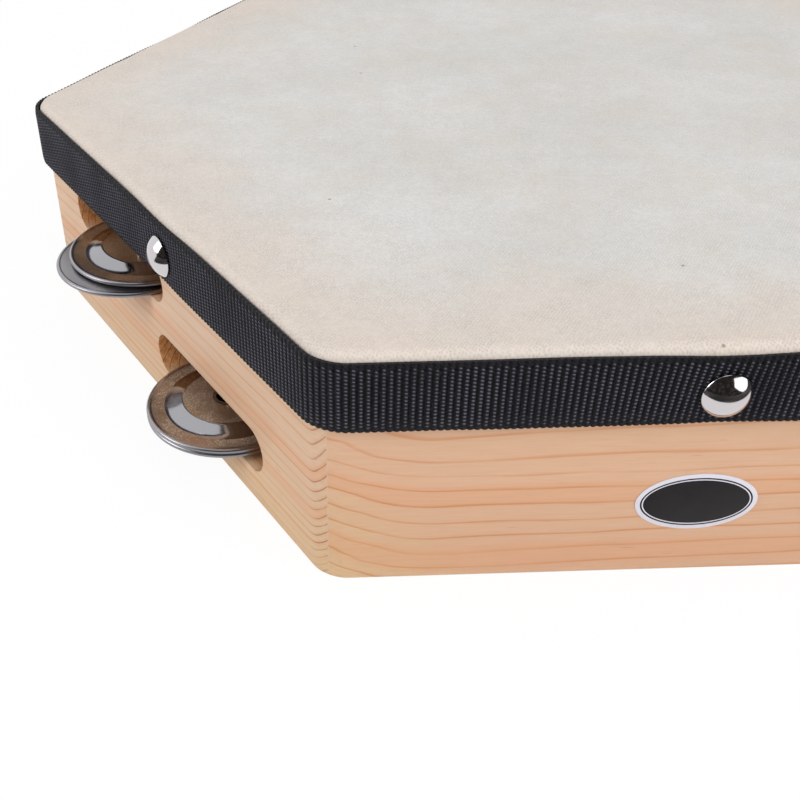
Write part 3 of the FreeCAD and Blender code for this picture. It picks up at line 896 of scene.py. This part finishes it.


# %% [markdown]
# ## Steel
# The jingles are pressed from thin plated sheet, rolled as bright as a dull mirror. The
# upper jingle of each pair is the one that gets handled: resin dust and a brown bloom lie on
# its flats, while the step, which rubs, stays bright. That brown is partly tarnish and partly
# a painted reflection of the wood around them. The tacks are nickel plated.

# %% Pressed steel
def pressed_steel(name, bloom_and_reflection, dust, dull):
    """bloom_and_reflection is how strongly the flats are browned, by tarnish and by a painted
    reflection of the wood, dust how much lies on them, from 0 to 1, and dull is their roughness."""
    material, tree, shader = finish_for(name)
    place = node(tree, "TexCoord", out="Object")
    level = node(tree, "SeparateXYZ", node(tree, "TexCoord", out="Normal"), out="Z")
    level = node(tree, "Math", level, operation="ABSOLUTE")
    flat = node(tree, "MapRange", level, 0.9975, 0.9992)
    # Brown on the flats: partly tarnish, partly a painted reflection of the wood.
    tarnish_and_reflection = node(tree, "TexNoise", Vector=place, Scale=140.0, Detail=5.0, Roughness=0.7)
    tarnish_and_reflection = node(tree, "Math", flat, node(tree, "MapRange", tarnish_and_reflection, 0.25, 0.6, 0.7 * bloom_and_reflection, bloom_and_reflection),
                 operation="MULTIPLY")
    # Resin dust: a film that gathers in patches, with paler specks in it.
    patch = node(tree, "TexNoise", Vector=place, Scale=110.0, Detail=3.0)
    patch = node(tree, "MapRange", patch, 0.36, 0.62, 0.1 * dust, 0.55 * dust)
    film = node(tree, "Math", flat, patch, operation="MULTIPLY")
    grit = node(tree, "TexNoise", Vector=place, Scale=3300.0, Detail=1.0)
    grit = node(tree, "Math", node(tree, "MapRange", grit, 0.54, 0.64), node(
        tree, "Math", film, 1.4, operation="MULTIPLY"), operation="MULTIPLY")
    edge = node(tree, "MapRange", level, 0.9, 0.7)
    tone = node(tree, "Mix", tarnish_and_reflection, colour("a6a6ab"), colour("94704f"), data_type="RGBA")
    tone = node(tree, "Mix", node(tree, "MapRange", edge, 0, 1, 0, 0.6), tone, colour("8a868a"),
                data_type="RGBA")
    tone = node(tree, "Mix", film, tone, colour("95806a"), data_type="RGBA")
    tone = node(tree, "Mix", grit, tone, colour("e0d4c4"), data_type="RGBA")
    tree.links.new(tone, shader.inputs["Base Color"])
    metal = node(tree, "Math", tarnish_and_reflection, -0.4, 1.0, operation="MULTIPLY_ADD")
    metal = node(tree, "Math", film, -0.9, metal, operation="MULTIPLY_ADD", use_clamp=True)
    tree.links.new(metal, shader.inputs["Metallic"])
    soft = node(tree, "MapRange", flat, 0, 1, 0.12, dull)
    soft = node(tree, "Math", edge, 0.25, soft, operation="MULTIPLY_ADD")
    tree.links.new(node(tree, "Math", film, 0.35, soft, operation="MULTIPLY_ADD"),
                   shader.inputs["Roughness"])
    ripple = node(tree, "TexNoise", Vector=place, Scale=420.0, Detail=3.0)
    bump = node(tree, "Bump", Strength=0.10, Distance=0.0001, Height=ripple)
    tree.links.new(bump, shader.inputs["Normal"])
    return material


# %% Nickel plate and drawn wire
def bright_metal(name, code, roughness):
    """Bright metal; fine scuffs break its mirror."""
    material, tree, shader = finish_for(name, Metallic=1.0, Base_Color=colour(code))
    place = node(tree, "TexCoord", out="Object")
    scuff = node(tree, "TexNoise", Vector=place, Scale=900.0, Detail=4.0, Roughness=0.7)
    tree.links.new(node(tree, "MapRange", scuff, 0.55, 0.75, roughness, roughness + 0.14),
                   shader.inputs["Roughness"])
    bump = node(tree, "Bump", Strength=0.04, Distance=0.0001, Height=scuff)
    tree.links.new(bump, shader.inputs["Normal"])
    return material


# The upper jingles get brown flats, partly tarnish and partly painted reflection.
dust_and_reflection = pressed_steel("dusty_steel_painted_reflection", 0.9, 1.0, 0.12)
handled_and_reflection = pressed_steel("handled_steel_painted_reflection", 1.0, 0.45, 0.10)
clean = pressed_steel("pressed_sheet_steel", 0.05, 0.1, 0.34)
for disc in jingles:
    wear(disc, clean if "lower" in disc.name else dust_and_reflection if "low" in disc.name else handled_and_reflection)
plate = bright_metal("nickel_plated_steel", "cfcbcd", 0.09)
for nail in tacks:
    wear(nail, plate)
wire = bright_metal("drawn_steel_wire", "b9b6b2", 0.22)
for pin in pins:
    wear(pin, wire)
print("metal on", len(jingles) + len(tacks) + len(pins), "pieces")

# %% [markdown]
# ## The label
# A thin printed oval, stuck on the plain board. It is left blank: a black oval inside a
# pale border with a fine line. The print is worked out from the distance to the border.

# %% Cut and print the label
LABEL_LONG = 24.0
LABEL_WIDE = 14.0
LABEL_LEVEL = 18.2
LABEL_THICK = 0.2
start()
bpy.ops.mesh.primitive_circle_add(vertices=128, radius=1, fill_type="NGON")
label = bpy.context.object
label.name = "blank_oval_label"
label.scale = (LABEL_LONG / 2 * MM, LABEL_WIDE / 2 * MM, 1)
apply_all(label)
edit(label, "FACE")
pick_all()
pull_up(LABEL_THICK)
start()
ease(label, 0.06, 2, 60)
put(label, at_side(SIDES[PLAIN], 0, 0, LABEL_LEVEL) @ face_out)
edit(label)
pick_all()
bpy.ops.mesh.normals_make_consistent(inside=False)
apply_all(label)
smooth(label, 40)
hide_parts("blank_label")
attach(label, "frame")


def printed_oval():
    """A black oval in a pale border with a fine line, from the distance to the cut edge."""
    material, tree, shader = finish_for("printed_vinyl", Specular_IOR_Level=0.12)
    place = node(tree, "TexCoord", out="Object")
    spot = node(tree, "Mapping", place, (0, 0, -LABEL_LEVEL), Scale=(1000, 0, 1000))
    pale, ink = colour("e4e2ec"), colour("1b191b")
    tone = pale
    for inset, tint in ((0.95, ink), (1.3, pale), (1.55, ink)):
        scale = (1 / (LABEL_LONG / 2 - inset), 0, 1 / (LABEL_WIDE / 2 - inset))
        reach = node(tree, "VectorMath", spot, scale, operation="MULTIPLY")
        reach = node(tree, "VectorMath", reach, operation="LENGTH", out="Value")
        share = node(tree, "Math", reach, 1.0, operation="LESS_THAN")
        tone = node(tree, "Mix", share, tone, tint, data_type="RGBA")
    smudge = node(tree, "TexNoise", Vector=place, Scale=160.0, Detail=4.0)
    tone = node(tree, "Mix", node(tree, "MapRange", smudge, 0, 1, 0, 0.12), tone,
                colour("6d6a6c"), data_type="RGBA")
    tree.links.new(tone, shader.inputs["Base Color"])
    tree.links.new(node(tree, "MapRange", smudge, 0, 1, 0.34, 0.54), shader.inputs["Roughness"])
    return material


wear(label, printed_oval())
print("label:", len(label.data.polygons), "faces")

# %% [markdown]
# ## Floor and light
# A white table under large soft lamps. The floor and the sky show white to the camera and
# in the metal, and the floor still takes a faint shadow.

# %% Floor
start()
bpy.ops.mesh.primitive_plane_add(size=6)
floor = bpy.context.object
floor.name = "floor"
material, tree, shader = finish_for("white_table", Base_Color=colour("e6e6e6"), Roughness=0.9)


def seen_white(tree, dull):
    """1 for the rays of the camera, of reflections and of glass, times one less dull."""
    most = 0.0
    for kind in ("Camera", "Glossy", "Transmission"):
        ray = node(tree, "LightPath", out=f"Is {kind} Ray")
        most = node(tree, "Math", ray, most, operation="MAXIMUM")
    return node(tree, "Math", most, 1 - dull, operation="MULTIPLY")


glow = node(tree, "Emission", Color=(1, 1, 1, 1), Strength=1.03)
surface = node(tree, "MixShader", seen_white(tree, 0.1), shader.outputs[0], glow)
tree.links.new(surface, tree.nodes["Material Output"].inputs[0])
wear(floor, material)

# %% Sky
world = bpy.data.worlds.new("studio")
bpy.context.scene.world = world
world.use_nodes = True
sky = world.node_tree
soft_light = node(sky, "Background", Color=(1, 1, 1, 1), Strength=0.42)
white = node(sky, "Background", Color=(1, 1, 1, 1), Strength=1.0)
sky.links.new(node(sky, "MixShader", seen_white(sky, 0.0), soft_light, white),
              sky.nodes["World Output"].inputs[0])

# %% [markdown]
# Bright metal only looks like metal when it has something dark to reflect. The white table
# ends a little way in front of the instrument and the room behind the camera is dark, so a
# black screen lies in front and stands up there. Only reflections see it, and so it is with
# the card, a lamp that stands to the right of the camera and shows as a bright patch.

# %% Black screen
# Metres, and SCREEN_AWAY is how many times as far out as the table's end the screen stands.
TABLE_END = 0.22
SCREEN_AWAY = 6
SCREEN_HIGH = 4.0
start()
bpy.ops.mesh.primitive_circle_add(vertices=96, radius=TABLE_END, location=(0, 0, MM))
screen = bpy.context.object
screen.name = "black_screen"
apply_all(screen)
edit(screen)
pick_all()
bpy.ops.mesh.extrude_edges_move()
bpy.ops.transform.resize(value=(SCREEN_AWAY, SCREEN_AWAY, 1), center_override=(0, 0, 0))
bpy.ops.mesh.extrude_edges_move(TRANSFORM_OT_translate={"value": (0, 0, SCREEN_HIGH)})
# What would stand beside the instrument or behind it is taken away.
pick(screen, "VERT", lambda v: v.co.y > min(0.35 * v.co.x, 0.2 * v.co.x))
bpy.ops.mesh.delete(type="VERT")
start()
screen.visible_camera = screen.visible_diffuse = screen.visible_shadow = False
screen.visible_transmission = False
cloth, tree, shader = finish_for("black_cloth", Roughness=1.0)
folds = node(tree, "TexNoise", Vector=node(tree, "TexCoord", out="Object"), Scale=4.0, Detail=3.0)
folds = node(tree, "Mix", node(tree, "MapRange", folds, 0.45, 0.65), colour("1c1818"),
             colour("4a3f3d"), data_type="RGBA")
tree.links.new(folds, shader.inputs["Base Color"])
wear(screen, cloth)


# %% Lamps
def softbox(name, place, aim, size, power, roll=0, lights=True, mirrored=True):
    """A lamp at a place in metres, turned to face another and rolled in degrees. It may light
    the object, show in its metal, or both."""
    lamp = bpy.data.lights.new(name, "AREA")
    lamp.shape = "RECTANGLE"
    lamp.size, lamp.size_y = size
    lamp.energy = power
    holder = bpy.data.objects.new(name, lamp)
    bpy.context.scene.collection.objects.link(holder)
    holder.location = place
    holder.rotation_euler = (Vector(aim) - Vector(place)).to_track_quat("-Z", "Y").to_euler()
    holder.rotation_euler.rotate_axis("Z", math.radians(roll))
    holder.visible_diffuse = lights
    holder.visible_glossy = mirrored


softbox("key", (0.74, -1.0, 0.74), (0, -0.05, 0.03), (1.6, 1.6), 14.7, -24, mirrored=False)
softbox("card", (0.93, -0.72, 0.46), (0, -0.13, 0.05), (1.25, 1.0), 7.0, -32, lights=False)
softbox("fill", (-1.07, -0.25, 0.56), (-0.05, 0, 0.03), (0.6, 0.6), 5.5)
softbox("top", (0.1, 0.35, 1.3), (0, 0, 0.03), (1.2, 1.2), 2.6, mirrored=False)

# %% [markdown]
# ## Camera
# The camera was fitted to the photograph: it looks down at about 36 degrees from close by,
# level with the front left corner, so the near corner is large and the far sides fall away.

# %% Camera
IMAGE = 800
SENSOR = 36
FITTED_SIDE = 150.0
LENS = 1088.65
CENTRE = (337.88, 401.0)
SPOT = (Vector((-76.93, -293.0, 164.63)) * SIDE / FITTED_SIDE + Vector((0, MIDDLE, 0))) * MM
ELEVATION, AZIMUTH, ROLL = 35.98, -1.717, -0.518
start()
bpy.ops.object.camera_add()
camera = bpy.context.object
eye = camera.data
eye.sensor_width = SENSOR
eye.lens = LENS / IMAGE * SENSOR
eye.shift_x = (IMAGE / 2 - CENTRE[0]) / IMAGE
eye.shift_y = (CENTRE[1] - IMAGE / 2) / IMAGE
eye.clip_start = 0.01
camera.matrix_world = Matrix.Translation(SPOT)
for axis, angle in (("Z", AZIMUTH), ("X", 90 - ELEVATION), ("Z", ROLL)):
    camera.matrix_world = camera.matrix_world @ Matrix.Rotation(math.radians(angle), 4, axis)
bpy.context.scene.camera = camera
bpy.context.scene.view_settings.view_transform = "Standard"
print(f"lens {eye.lens:.1f} mm, shift {eye.shift_x:.3f} {eye.shift_y:.3f}")
